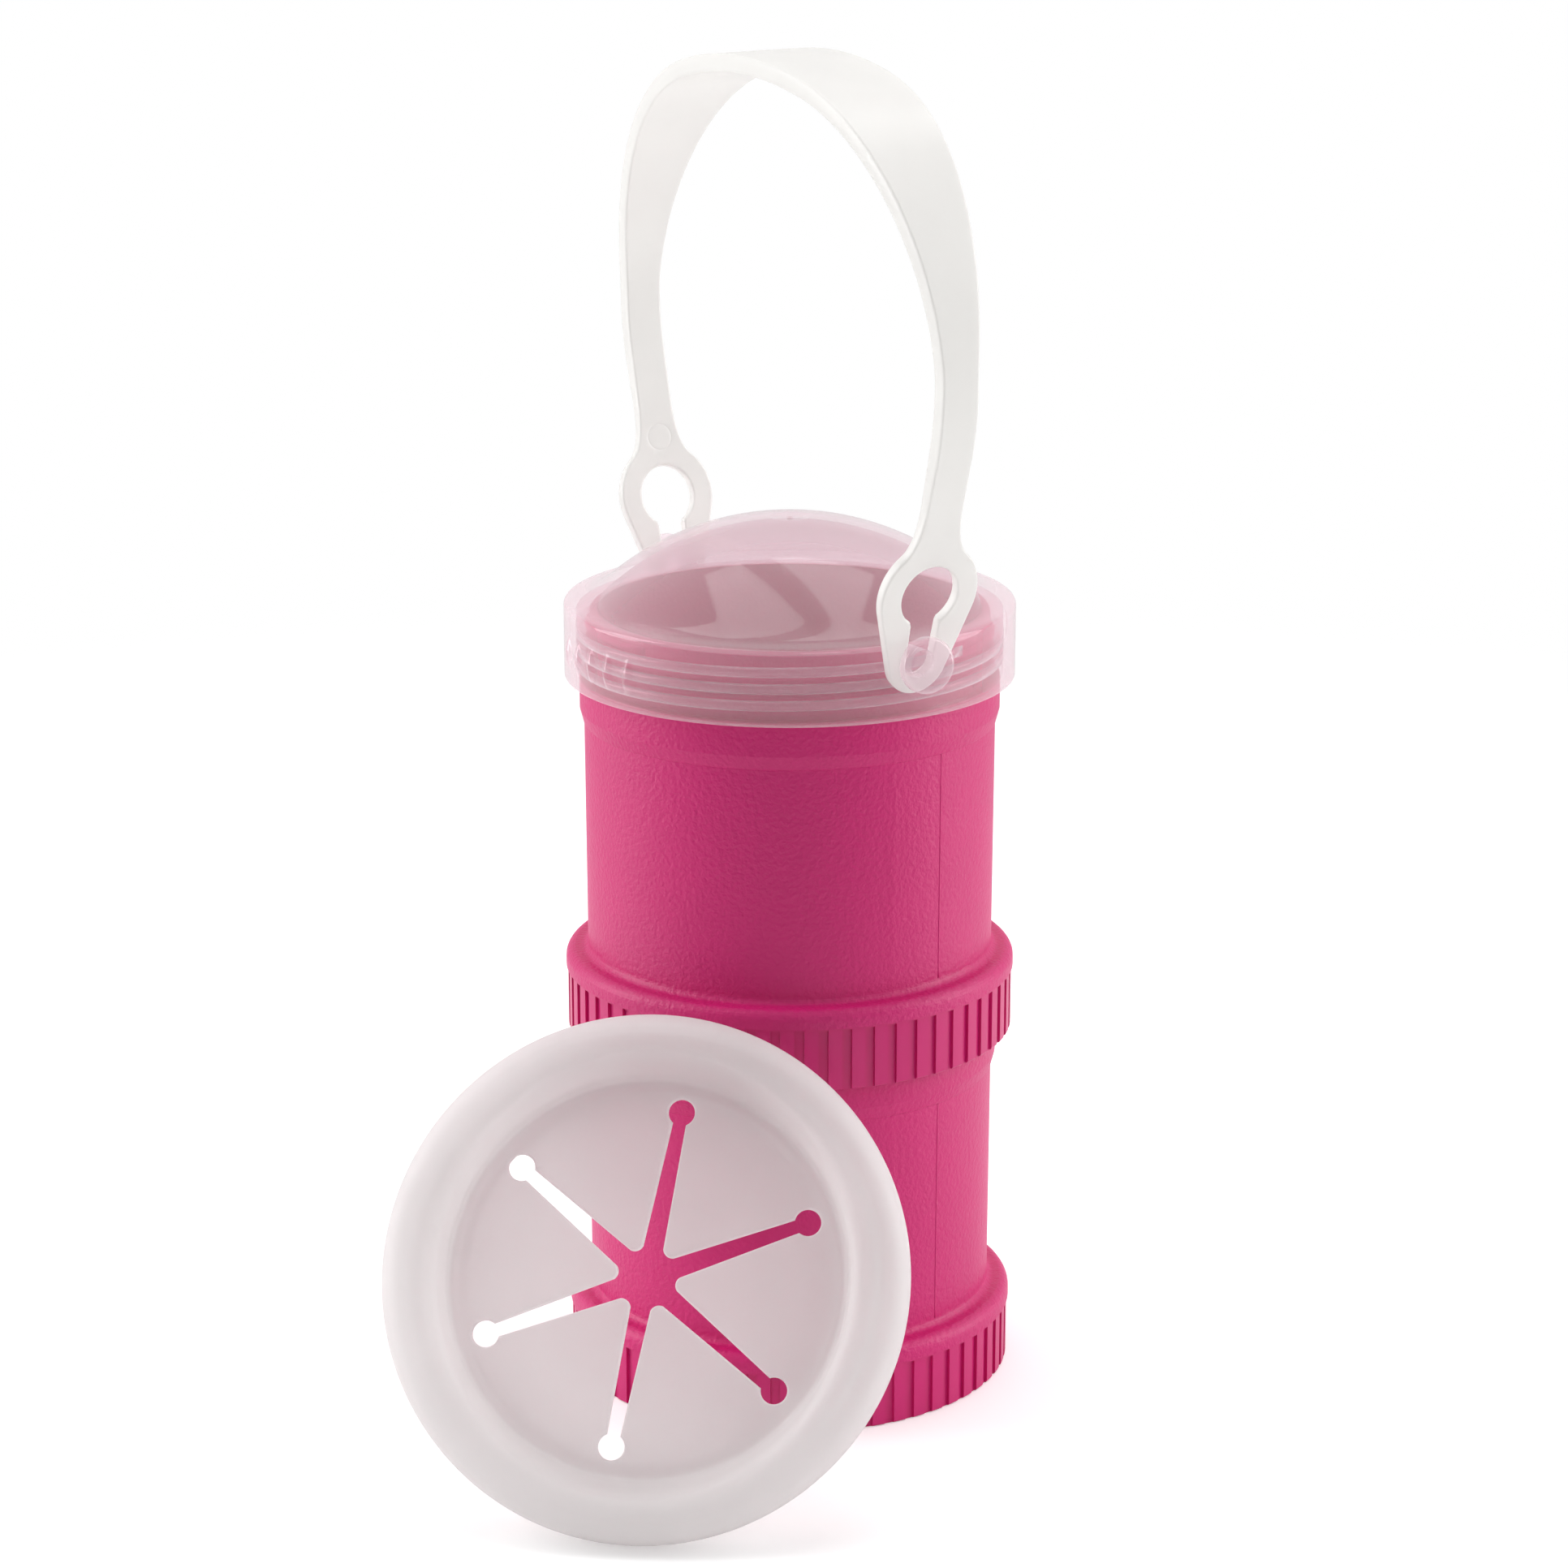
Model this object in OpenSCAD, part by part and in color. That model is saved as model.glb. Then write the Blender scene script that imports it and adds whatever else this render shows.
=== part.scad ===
/* [Pods] */
// Height of one pod, from the collar's edge to the rim of the neck
pod_h = 79; // [72:0.5:90]
// Radius of the neck at the thread's root
neck_r = 36.5; // [34:0.1:39]
// Width of the flare's step round the neck
flare_step = 1.9; // [1.3:0.1:2.6]
// Height of the flare's straight band
flare_h = 6.1; // [4:0.1:8]
// Height of the chamfer below the flare
flare_chamfer_h = 2.6; // [1.5:0.1:4]
// Height of the neck above the flare
neck_h = 12.1; // [11:0.1:12.3]
// How far the body below the flare steps in, by radius
body_step = 0.8; // [0.2:0.1:1.9]
// How much the body narrows from the flare down to the collar, by radius
body_taper = 0.2; // [0:0.1:1.5]
// Wall of the neck at its rim
neck_wall = 1.4; // [1:0.1:2]
// How much the inside narrows from rim to floor, by radius
cup_draft = 0.4; // [0:0.1:1]
// Thickness of the pod's floor
floor_t = 1.8; // [1.2:0.1:3]
// Inner fillet where the pod's wall meets its floor
floor_fillet = 3; // [1:0.5:5]

/* [Base collar] */
// Gap between the socket's wall and the flare that passes into it
socket_gap = 0.4; // [0.2:0.1:0.8]
// Wall of the collar, over its ribs
collar_wall = 2.4; // [2:0.1:3.4]
// Height of the ribbed band
rib_band_h = 11.5; // [9:0.1:12]
// Number of ribs round the collar
rib_count = 60; // [36:1:72]
// Width of the groove between two ribs
groove_w = 1.75; // [1.2:0.05:2.2]
// Depth of the groove between two ribs
groove_depth = 0.55; // [0.3:0.05:0.8]
// Plain height between a groove's end and the bead
groove_stop = 0.2; // [0.1:0.1:1]
// How far the rounded bead stands out over the ribs
bead_proud = 0.3; // [0.1:0.1:0.9]
// Height of the rounded bead
bead_h = 3.6; // [3:0.1:5]
// Rounding of the bead's outer edge
bead_round = 2; // [1:0.1:2.5]
// Fillet between the bead and the body
bead_fillet = 1.3; // [0.6:0.1:1.6]
// Depth of the threaded socket in the collar
socket_depth = 13.4; // [12.6:0.1:14.5]
// Edge rounding at the collar's foot
foot_round = 0.5; // [0.2:0.1:1]
// Gap between a neck's rim and the roof it screws up to
seat_gap = 0.1; // [0.05:0.05:0.3]

/* [Travel lid] */
// Wall of the lid's skirt
skirt_wall = 2.3; // [1.6:0.1:2.8]
// Depth of the skirt below the roof that meets the neck
skirt_h = 12.3; // [11:0.1:12.3]
// Rounding of the corner between skirt and shoulder
corner_r = 0.9; // [0.6:0.1:3]
// Height of the corner's top above the roof
corner_rise = 1.6; // [0.4:0.1:2]
// Width of the sloping shoulder between the skirt and the dome
shoulder_w = 5.2; // [4.6:0.1:6.5]
// Height of the dome's foot above the roof
dome_foot_h = 2.3; // [1.8:0.1:3]
// Height of the dome's top above the roof
dome_h = 16.7; // [12:0.1:22]
// Length of the hollow blend between shoulder and dome, each way
dome_blend = 2.6; // [1:0.1:3]
// Wall of the dome
lid_wall = 1.6; // [1.2:0.1:2]
// How far the roof laps over the neck's rim, inward
roof_lap = 0.4; // [0.2:0.1:1]
// Diameter of the dimple on the dome's top
dimple_d = 8.4; // [5:0.1:10]
// Depth of the dimple on the dome's top
dimple_depth = 0.5; // [0.3:0.1:0.9]

/* [Lid grips] */
// Number of grip ribs in each group
grip_count = 5; // [3:1:7]
// Angle between two grip ribs
grip_step = 7.6; // [6.5:0.1:9]
// Angle from the studs to the middle of a group
grip_turn = 88.5; // [85:0.5:95]
// Length of a grip rib
grip_len = 9; // [6:0.5:9.5]
// Half width of a grip rib at its middle
grip_half = 1.6; // [1.2:0.1:2]
// How far a grip rib stands out of the skirt
grip_proud = 0.7; // [0.4:0.1:1]

/* [Studs] */
// Height of the studs' axis below the lid's roof
stud_drop = 0.8; // [0.6:0.1:2]
// Radius of a stud's shank
shank_r = 2.42; // [2:0.02:2.8]
// Length of a stud's shank, from the skirt to the back of its head
shank_len = 6.1; // [6:0.1:8]
// Thickness of a stud's head
head_t = 2.3; // [1.6:0.1:3]
// Radius of a stud's head
head_r = 5; // [4.4:0.1:5.2]

/* [Strap] */
// Thickness of the strap at its loops
strap_t = 2.1; // [1.6:0.1:2.2]
// Thickness of the strap over its shoulders and crown
crown_t = 3.2; // [2:0.1:4]
// Distance from the lid's skirt to the middle of the strap, at the studs
strap_off = 3.3; // [3.2:0.1:3.5]
// How far the strap leans from upright on its studs, at rest
strap_rest = 0.35; // [-3:0.05:3]
// Outward lean of the strap's legs
strap_lean = 16.5; // [14:0.5:18]
// Length of a leg's straight stretch above the stud
strap_leg = 39.2; // [30:0.1:50]
// Radius of the arch's shoulders
strap_shoulder_r = 46.8; // [40:0.1:52]
// Angle that a shoulder turns through
strap_turn = 94; // [90:0.5:100]
// Clearance between a stud's head and the keyhole's round hole, by radius
keyhole_gap = 0.45; // [0.2:0.05:1]
// Distance from the stud's axis up to the round hole's centre
keyhole_rise = 12.5; // [11:0.1:14]
// Width of the keyhole's slot where it leaves the round hole
slot_w_top = 5.7; // [5.2:0.1:6.2]
// Clearance between the shank and its seat, by radius
seat_clear = 0.08; // [0.05:0.01:0.1]
// Material round the seat, beyond the seat's radius
loop_end_wall = 3.3; // [2.8:0.1:4]
// Material round the keyhole's round hole
loop_wall = 4.15; // [3:0.05:4.5]
// Half width of the strap's neck, its narrowest place
strap_neck = 3.6; // [3:0.1:5]
// Half width of the strap at the top of the arch
strap_crown = 10.1; // [8:0.1:13]

/* [Snack lid] */
// Clearance left for the neck's thread, by radius
thread_room = 0.8; // [0.6:0.1:1.2]
// How far the rim reaches out over the skirt, by radius
cap_overhang = 6.3; // [5:0.1:8]
// Rounding of the rim's outer edge at its front
cap_round = 4; // [3:0.1:4.5]
// Height of the rim's upright side
cap_side_h = 3; // [1:0.1:5]
// Wall of the soft rim
cap_wall = 2; // [1.6:0.1:2.4]
// Slope of the recess's wall, from the rim's lip in to the web
recess_slope = 2.7; // [2:0.1:4]
// Depth of the web below the rim's front
cap_recess = 7; // [5:0.1:8]
// Thickness of the web
cap_web_t = 1.6; // [1.2:0.1:2]
// Length of the outer skirt behind the web
cap_skirt_h = 7.8; // [4:0.1:9]
// Clearance between the snack lid's walls and a pod's neck
cap_clear = 0.4; // [0.2:0.1:0.8]
// Length of the inner plug behind the web
cap_plug_h = 6.5; // [4:0.5:7.5]
// Number of slots
slot_count = 6; // [5:1:7]
// Distance from a slot's end bulb to the plug's wall
bulb_margin = 1.2; // [0.6:0.1:4]
// Radius of a slot's end bulb
bulb_r = 2.3; // [1.8:0.1:2.6]
// Width of a slot at its bulb
slot_w = 2.3; // [1.5:0.1:3]
// Distance from the middle to the petals' tips
petal_tip = 5.1; // [4.5:0.1:7]
// Rounding of the petals' tips
petal_round = 1.7; // [1:0.1:2]

/* [Snack lid's place] */
// Height above the upper pod's foot where the snack lid leans on its collar
cap_touch_up = 2.5; // [0.5:0.1:8]
// Direction that the snack lid faces, turned from straight ahead towards a stud
cap_face = 55.5; // [45:0.1:65]
// Angle round the skirt, from its top to where it leans on the collar
cap_touch = 18.2; // [10:0.1:24]
// Gap between the leaning skirt and the collar
cap_gap = 0.3; // [0.1:0.1:0.8]
// Angle of the first slot in the snack lid
cap_turn = 21; // [0:1:59]

/* [Hidden] */
$fn = 96;
magenta = [0.84, 0.24, 0.53];
clear_pink = [0.87, 0.72, 0.78];
milky = [0.93, 0.93, 0.92];
milky_soft = [0.92, 0.9, 0.9];
// Cutters pass a face by this much
over = 1;

flare_r = neck_r + flare_step;
body_r_high = flare_r - body_step;
body_r_low = body_r_high - body_taper;
socket_r = flare_r + socket_gap;
rib_r = socket_r + collar_wall;
bead_r = rib_r + bead_proud;
pod_pitch = pod_h + seat_gap - socket_depth;
floor_z = socket_depth + floor_t;
flare_top = pod_h - neck_h;
flare_foot = flare_top - flare_h;
step_z = flare_foot - flare_chamfer_h;
step_r = 0.15;
flare_edge = 0.3;
neck_chamfer = 0.6;
cup_r_top = neck_r - neck_wall;
cup_r_low = cup_r_top - cup_draft;
bead_top = rib_band_h + bead_h;
// Rise of the bead's underside, from the ribs out to its rim
bead_under = 0.1;
// Angles where the small arcs of the foot and of the bead's fillet start and end
foot_from = -60;
bead_to = 80;
fillet_from = 265;

roof_z = 2 * pod_pitch + socket_depth;
skirt_r = socket_r + skirt_wall;
dome_foot_r = skirt_r - shoulder_w;
dome_round = (pow(dome_foot_r, 2) + pow(dome_h - dome_foot_h, 2)) / (2 * (dome_h - dome_foot_h));
dome_c = dome_h - dome_round;
// Angle that the skirt's corner rounding turns through
corner_turn = 78;
// Chamfer at the skirt's lower edge, inward and upward
skirt_edge = [0.2, 0.4];
stud_z = roof_z - stud_drop;
head_back = skirt_r + shank_len;
head_round = 0.8;
head_edge = 0.3;
// Moulding nibs on the dome's top and on the studs' faces
nib_r = 0.45;
nib_h = 0.35;
nib_low = 0.1;

strap_foot = skirt_r + strap_off;
keyhole_d = 2 * (head_r + keyhole_gap);
seat_r = shank_r + seat_clear;
loop_end_r = seat_r + loop_end_wall;
loop_r = keyhole_d / 2 + loop_wall;
neck_blend = 8;
neck_len = 21.5;
// How the strap widens from its neck to its crown: 1 is straight, more is hollow
widening = 1.3;
arc_step = 6;

arch_outside = arch_side(strap_t / 2, crown_t / 2);
arch_inside = arch_side(-strap_t / 2, -crown_t / 2);
strap_top = arch_outside[len(arch_outside) - 1][1];
channel_r_out = neck_r + thread_room + cap_clear;
channel_r_in = cup_r_top - cap_clear;
cap_r = channel_r_out + cap_wall + cap_overhang;
cap_lip_r = channel_r_out;
cap_web_r = cap_lip_r - recess_slope;
bulb_dist = channel_r_in - cap_web_t - bulb_margin - bulb_r;
web_front = cap_round - cap_recess;
web_back = web_front - cap_web_t;
side_round = 2;
cap_edge = 0.8;
// Rounding of the rim's inner lip, and the chamfer where the web meets the recess's wall
lip_round = 1.2;
lip_drop = 0.2;
web_edge = [1, 0.6];
petal_half = 180 / slot_count;

// Points of an arc round (cx, cy), from angle a0 to a1
function arc(cx, cy, r, a0, a1, n = 6) =
    [for (i = [0:n]) [cx + r * cos(a0 + (a1 - a0) * i / n), cy + r * sin(a0 + (a1 - a0) * i / n)]];

// Point of a smooth curve bent from p to q towards the corner c
function bend(p, c, q, t) = (1 - t) * (1 - t) * p + 2 * t * (1 - t) * c + t * t * q;

// Outer form of a pod, from its foot to the rim of its neck
function pod_outline() = concat(
    [[0, 0], [rib_r - foot_round, 0]],
    arc(rib_r - foot_round, foot_round, foot_round, foot_from, 0, 3),
    [[rib_r, rib_band_h], [bead_r, rib_band_h + bead_under]],
    arc(bead_r - bead_round, bead_top - bead_round, bead_round, 0, bead_to, 6),
    arc(body_r_low + bead_fillet, bead_top + bead_fillet, bead_fillet, fillet_from, 180, 5),
    [[body_r_high, step_z], [body_r_high + step_r, step_z + step_r], [flare_r, flare_foot]],
    [[flare_r, flare_top - flare_edge], [flare_r - flare_edge, flare_top], [neck_r, flare_top]],
    [[neck_r, pod_h - neck_chamfer], [neck_r - neck_chamfer / 2, pod_h], [0, pod_h]]);

module cup_space() {
    rotate_extrude()
        polygon(concat(
            [[0, floor_z]],
            arc(cup_r_low - floor_fillet, floor_z + floor_fillet, floor_fillet, -90, 0, 5),
            [[cup_r_top, pod_h], [cup_r_top, pod_h + over], [0, pod_h + over]]));
}

module socket_space() {
    translate([0, 0, -over])
        cylinder(r = socket_r, h = socket_depth + over);
}

module rib_grooves() {
    for (i = [0:rib_count - 1])
        rotate([0, 0, (i + 0.5) * 360 / rib_count])
            translate([rib_r - groove_depth, -groove_w / 2, -over])
                cube([groove_depth + over, groove_w, rib_band_h - groove_stop + over]);
}

module pod() {
    difference() {
        rotate_extrude()
            polygon(pod_outline());
        cup_space();
        socket_space();
        rib_grooves();
    }
}

module lower_pod() {
    color(magenta)
        pod();
}

module upper_pod() {
    color(magenta)
        translate([0, 0, pod_pitch])
            pod();
}

// Height of the dome's outside above the roof, at radius r
function dome_z(r) = dome_c + sqrt(dome_round * dome_round - r * r);

// Lid's outside, heights counted from the roof that meets the neck
function lid_outline() =
    let (corner = arc(skirt_r - corner_r, corner_rise - corner_r, corner_r, 0, corner_turn, 6),
         slope = (dome_foot_h - corner[6][1]) / (dome_foot_r - corner[6][0]),
         foot = [dome_foot_r + dome_blend, dome_foot_h + slope * dome_blend],
         start_r = dome_foot_r - dome_blend,
         crest = [start_r, dome_z(start_r)],
         dome_slope = -start_r / (crest[1] - dome_c),
         meet_r = (crest[1] - foot[1] - dome_slope * crest[0] + slope * foot[0]) / (slope - dome_slope),
         meet = [meet_r, foot[1] + slope * (meet_r - foot[0])])
    concat(
        [[0, -skirt_h], [skirt_r - skirt_edge[0], -skirt_h], [skirt_r, -skirt_h + skirt_edge[1]]],
        corner,
        [for (i = [0:8]) bend(foot, meet, crest, i / 8)],
        [for (i = [1:12]) let (r = start_r * (1 - i / 12)) [r, dome_z(r)]]);

module lid_space() {
    inner_r = cup_r_top - roof_lap;
    inner_round = dome_round - lid_wall;
    edge_z = dome_c + sqrt(inner_round * inner_round - inner_r * inner_r);
    rotate_extrude()
        polygon(concat(
            [[0, -skirt_h - over], [socket_r, -skirt_h - over], [socket_r, 0], [inner_r, 0], [inner_r, edge_z]],
            [for (i = [1:12]) let (r = inner_r * (1 - i / 12))
                [r, dome_c + sqrt(inner_round * inner_round - r * r)]]));
}

// One grip rib: a slender spindle half sunk in the skirt
module grip_rib() {
    bow = (pow(grip_len / 2, 2) + pow(grip_half, 2)) / (2 * grip_half);
    half = asin(grip_len / 2 / bow);
    translate([skirt_r + grip_proud - grip_half, 0, -skirt_h / 2])
        rotate_extrude($fn = 32)
            polygon(concat(arc(grip_half - bow, 0, bow, -half, half, 10)));
}

module grip_group(middle) {
    for (i = [0:grip_count - 1])
        rotate([0, 0, middle + (i - (grip_count - 1) / 2) * grip_step])
            grip_rib();
}

// A mushroom stud along +X, with a rounded head
module stud() {
    root_x = skirt_r - 3 / 4 * skirt_wall;
    face_x = head_back + head_t;
    rotate([0, 90, 0])
        rotate_extrude()
            polygon(concat(
                [[0, root_x], [shank_r, root_x], [shank_r, head_back], [head_r - head_edge, head_back]],
                [[head_r, head_back + head_edge]],
                arc(head_r - head_round, face_x - head_round, head_round, 0, 90, 5),
                [[nib_r, face_x - nib_low], [nib_r, face_x + nib_low / 2], [0, face_x + nib_low]]));
}

module travel_lid() {
    dimple_ball = (pow(dimple_d / 2, 2) + pow(dimple_depth, 2)) / (2 * dimple_depth);
    color(clear_pink)
        translate([0, 0, roof_z]) {
            difference() {
                union() {
                    rotate_extrude()
                        polygon(lid_outline());
                    grip_group(-grip_turn);
                    grip_group(180 - grip_turn);
                }
                lid_space();
                translate([0, 0, dome_h + dimple_ball - dimple_depth])
                    sphere(r = dimple_ball);
            }
            translate([0, 0, dome_h - dimple_depth - lid_wall / 2])
                cylinder(r = nib_r, h = lid_wall / 2 + nib_h);
            for (turn = [0, 180])
                rotate([0, 0, turn])
                    translate([0, 0, -stud_drop])
                        stud();
        }
}

// Line of half the arch in the XZ plane, from foot to top, beside its middle line: by low at the loop,
// by high from the end of the straight leg on
function arch_side(low, high) =
    let (knee = [strap_foot + strap_leg * sin(strap_lean), strap_leg * cos(strap_lean)],
         out = [cos(strap_lean), -sin(strap_lean)],
         c1 = knee + strap_shoulder_r * [-cos(strap_lean), sin(strap_lean)],
         a1 = strap_turn - strap_lean,
         join = c1 + strap_shoulder_r * [cos(a1), sin(a1)],
         crown_r = join[0] / cos(a1),
         c2 = join - crown_r * [cos(a1), sin(a1)],
         below = loop_end_r + over,
         loop_top = keyhole_rise + loop_r,
         start = [strap_foot - below * sin(strap_lean), -below * cos(strap_lean)],
         loop_end = [strap_foot + loop_top * tan(strap_lean), loop_top])
    concat(
        [start + low * out, loop_end + low * out],
        arc(c1[0], c1[1], strap_shoulder_r + high, -strap_lean, a1, round(strap_turn / arc_step)),
        [for (i = [1:3]) let (a = a1 + (90 - a1) * i / 3) c2 + (crown_r + high) * [cos(a), sin(a)]]);

function mirrored(points) = [for (p = points) [-p[0], p[1]]];
function reversed(points) = [for (i = [len(points) - 1:-1:0]) points[i]];
function shortened(points) = [for (i = [0:len(points) - 2]) points[i]];

module arch_band() {
    rotate([90, 0, 0])
        linear_extrude(height = 4 * loop_r, center = true)
            polygon(concat(arch_outside, mirrored(reversed(shortened(arch_outside))),
                mirrored(arch_inside), reversed(shortened(arch_inside))));
}

// Right half of a leg's outline seen along the studs' axis, from the loop's end to the crown
function leg_side() =
    let (taper = asin((loop_r - loop_end_r) / keyhole_rise),
         shoulder = 50,
         top = keyhole_rise + loop_r * sin(shoulder),
         side = loop_r * cos(shoulder),
         corner = [strap_neck, top + (side - strap_neck) / tan(shoulder)],
         neck_low = [strap_neck, corner[1] + neck_blend],
         neck_top = neck_low[1] + neck_len)
    concat(
        arc(0, 0, loop_end_r, -90, -taper, 8),
        arc(0, keyhole_rise, loop_r, -taper, shoulder, 8),
        [for (i = [1:5]) bend([side, top], corner, neck_low, i / 5)],
        [for (i = [0:12]) let (u = i / 12)
            [strap_neck + (strap_crown - strap_neck) * pow(u, widening), neck_top + (strap_top - neck_top) * u]],
        [[strap_crown, strap_top + over]]);

module leg_outline() {
    side = leg_side();
    rotate([90, 0, 90])
        linear_extrude(height = 4 * strap_foot, center = true)
            polygon(concat(side, reversed(mirrored(side))));
}

module keyholes() {
    rotate([90, 0, 90])
        linear_extrude(height = 4 * strap_foot, center = true) {
            circle(r = seat_r);
            translate([0, keyhole_rise])
                circle(d = keyhole_d);
            polygon([[-seat_r, 0], [seat_r, 0], [slot_w_top / 2, keyhole_rise], [-slot_w_top / 2, keyhole_rise]]);
        }
}

module carry_strap() {
    color(milky)
        translate([0, 0, stud_z])
            rotate([strap_rest, 0, 0])
                difference() {
                    intersection() {
                        arch_band();
                        leg_outline();
                    }
                    keyholes();
                }
}

// Half section of the snack lid without its slots, middle of the rim's front rounding at height 0
function cap_section() =
    let (front_c = cap_r - cap_round,
         roof_in = cap_round - cap_wall,
         skirt_end = web_back - cap_skirt_h,
         skirt_out = channel_r_out + cap_wall,
         plug_end = web_back - cap_plug_h,
         plug_in = channel_r_in - cap_web_t)
    concat(
        [[0, web_front], [cap_web_r - web_edge[0], web_front], [cap_web_r, web_front + web_edge[1]]],
        arc(cap_lip_r + lip_round, cap_round - lip_drop - lip_round, lip_round, 180, 95, 5),
        arc(front_c, 0, cap_round, 90, 0, 8),
        arc(cap_r - side_round, -cap_side_h, side_round, 0, -90, 5),
        [[cap_r - side_round, -cap_side_h], [cap_r - cap_wall, -cap_side_h], [cap_r - cap_wall, 0]],
        arc(front_c, 0, cap_round - cap_wall, 0, 90, 4),
        [[skirt_out, roof_in], [skirt_out, skirt_end + cap_edge]],
        arc(skirt_out - cap_edge, skirt_end + cap_edge, cap_edge, 0, -90, 4),
        [[channel_r_out, skirt_end], [channel_r_out, web_back], [channel_r_in, web_back]],
        [[channel_r_in, plug_end], [plug_in, plug_end], [plug_in, web_back], [0, web_back]]);

// Outline of the star: slots that end in bulbs, with the petals' round tips between them
function star_outline() =
    let (tip_c = petal_tip + petal_round,
         in_x = tip_c * cos(petal_half),
         in_y = tip_c * sin(petal_half) - petal_round,
         open = asin(slot_w / 2 / bulb_r))
    [for (k = [0:slot_count - 1]) each concat(
        [for (p = concat(
            [[in_x, -in_y]],
            arc(bulb_dist, 0, bulb_r, open - 180, 180 - open, 12),
            [[in_x, in_y]]))
            turned(p, k * 2 * petal_half)],
        [for (p = arc(tip_c, 0, petal_round, 255 - petal_half, 105 + petal_half, 5))
            turned(p, (2 * k + 1) * petal_half)])];

function turned(p, a) = [p[0] * cos(a) - p[1] * sin(a), p[0] * sin(a) + p[1] * cos(a)];

module snack_lid() {
    skirt_c = channel_r_out + cap_wall - cap_edge;
    side_c = cap_r - side_round;
    back = cap_skirt_h - web_back - cap_edge;
    // The snack lid leans back until its skirt's end is at the touching height
    tall = side_c + skirt_c * cos(cap_touch);
    deep = back - cap_side_h;
    touch_z = pod_pitch + cap_touch_up - side_round;
    cap_lean = acos(touch_z / sqrt(tall * tall + deep * deep)) - atan2(deep, tall);
    // The skirt's end rests on the collar where the line between them is level with both
    reach = sqrt(pow(cos(cap_touch), 2) + pow(sin(cap_lean) * sin(cap_touch), 2));
    stand_off = rib_r + cap_gap + cap_edge;
    ahead = skirt_c * sin(cap_lean) * cos(cap_touch) + back * cos(cap_lean) + stand_off * cos(cap_touch) / reach;
    aside = skirt_c * sin(cap_touch) + stand_off * sin(cap_lean) * sin(cap_touch) / reach;
    rise = side_c * cos(cap_lean) + cap_side_h * sin(cap_lean) + side_round;
    color(milky_soft)
        rotate([0, 0, cap_face])
            translate([-aside, -ahead, rise])
                rotate([90 - cap_lean, 0, 0])
                    difference() {
                        rotate_extrude()
                            polygon(cap_section());
                        rotate([0, 0, cap_turn])
                            translate([0, 0, web_back - over])
                                linear_extrude(height = cap_web_t + 2 * over)
                                    polygon(star_outline());
                    }
}

lower_pod();
upper_pod();
travel_lid();
carry_strap();
snack_lid();
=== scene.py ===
"""Looks of the toddler snack container: finishes, moulded and soft pieces, light, floor and camera."""

from math import acos, asin, atan2, cos, hypot, pi, radians, sin, sqrt, tan

import bmesh
import bpy
import numpy as np
from mathutils import Matrix, Vector
from mathutils.geometry import delaunay_2d_cdt


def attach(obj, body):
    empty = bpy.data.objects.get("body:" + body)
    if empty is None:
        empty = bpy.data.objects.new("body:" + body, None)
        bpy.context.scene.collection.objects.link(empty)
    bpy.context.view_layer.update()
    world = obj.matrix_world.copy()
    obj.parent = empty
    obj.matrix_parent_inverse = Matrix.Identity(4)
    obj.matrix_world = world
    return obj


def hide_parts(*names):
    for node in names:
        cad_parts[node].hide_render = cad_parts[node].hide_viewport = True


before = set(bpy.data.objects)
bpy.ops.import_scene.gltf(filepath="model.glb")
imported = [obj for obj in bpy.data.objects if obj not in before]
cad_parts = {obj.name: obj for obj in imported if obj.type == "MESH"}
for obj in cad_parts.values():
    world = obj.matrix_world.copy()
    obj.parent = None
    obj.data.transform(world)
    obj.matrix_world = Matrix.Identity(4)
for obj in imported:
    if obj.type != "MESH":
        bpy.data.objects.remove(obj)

MM = 0.001
scene = bpy.context.scene
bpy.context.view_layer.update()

# Measures of the moulded parts, in millimetres
BODY_R_LOW, BODY_R_HIGH, POD_H = 37.4, 37.6, 79.0
NECK_R, NECK_H, SOCKET_R, RIB_R = 36.5, 12.1, 38.8, 41.2
BEAD_TOP, BEAD_FILLET, STEP_Z = 15.1, 1.3, 58.2
GRAIN_FOOT = 11.65
POD_PITCH = 65.7
ROOF_Z, STUD_Z, SKIRT_H = 144.8, 144.0, 12.3
# The threads' pitch, and their ridge: share of its height and distance along the axis
PITCH, SUNK, SUNK_HALF = 3.0, 0.15, 0.95
NECK_CREST, SOCKET_CREST = 37.3, 37.7
RIDGE = ((0, -0.85), (0.8, -0.45), (1, -0.2), (1, 0.2), (0.8, 0.45), (0, 0.85))
# Section of a parting line: distance out of the wall, and aside
SEAM = ((-0.1, -0.2), (0.01, -0.17), (0.075, -0.04), (0.075, 0.04), (0.01, 0.17), (-0.1, 0.2))
# Places of the two parting lines round a pod, in degrees
SEAM_TURNS = (("a", 16.3), ("b", 196.3))


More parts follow.
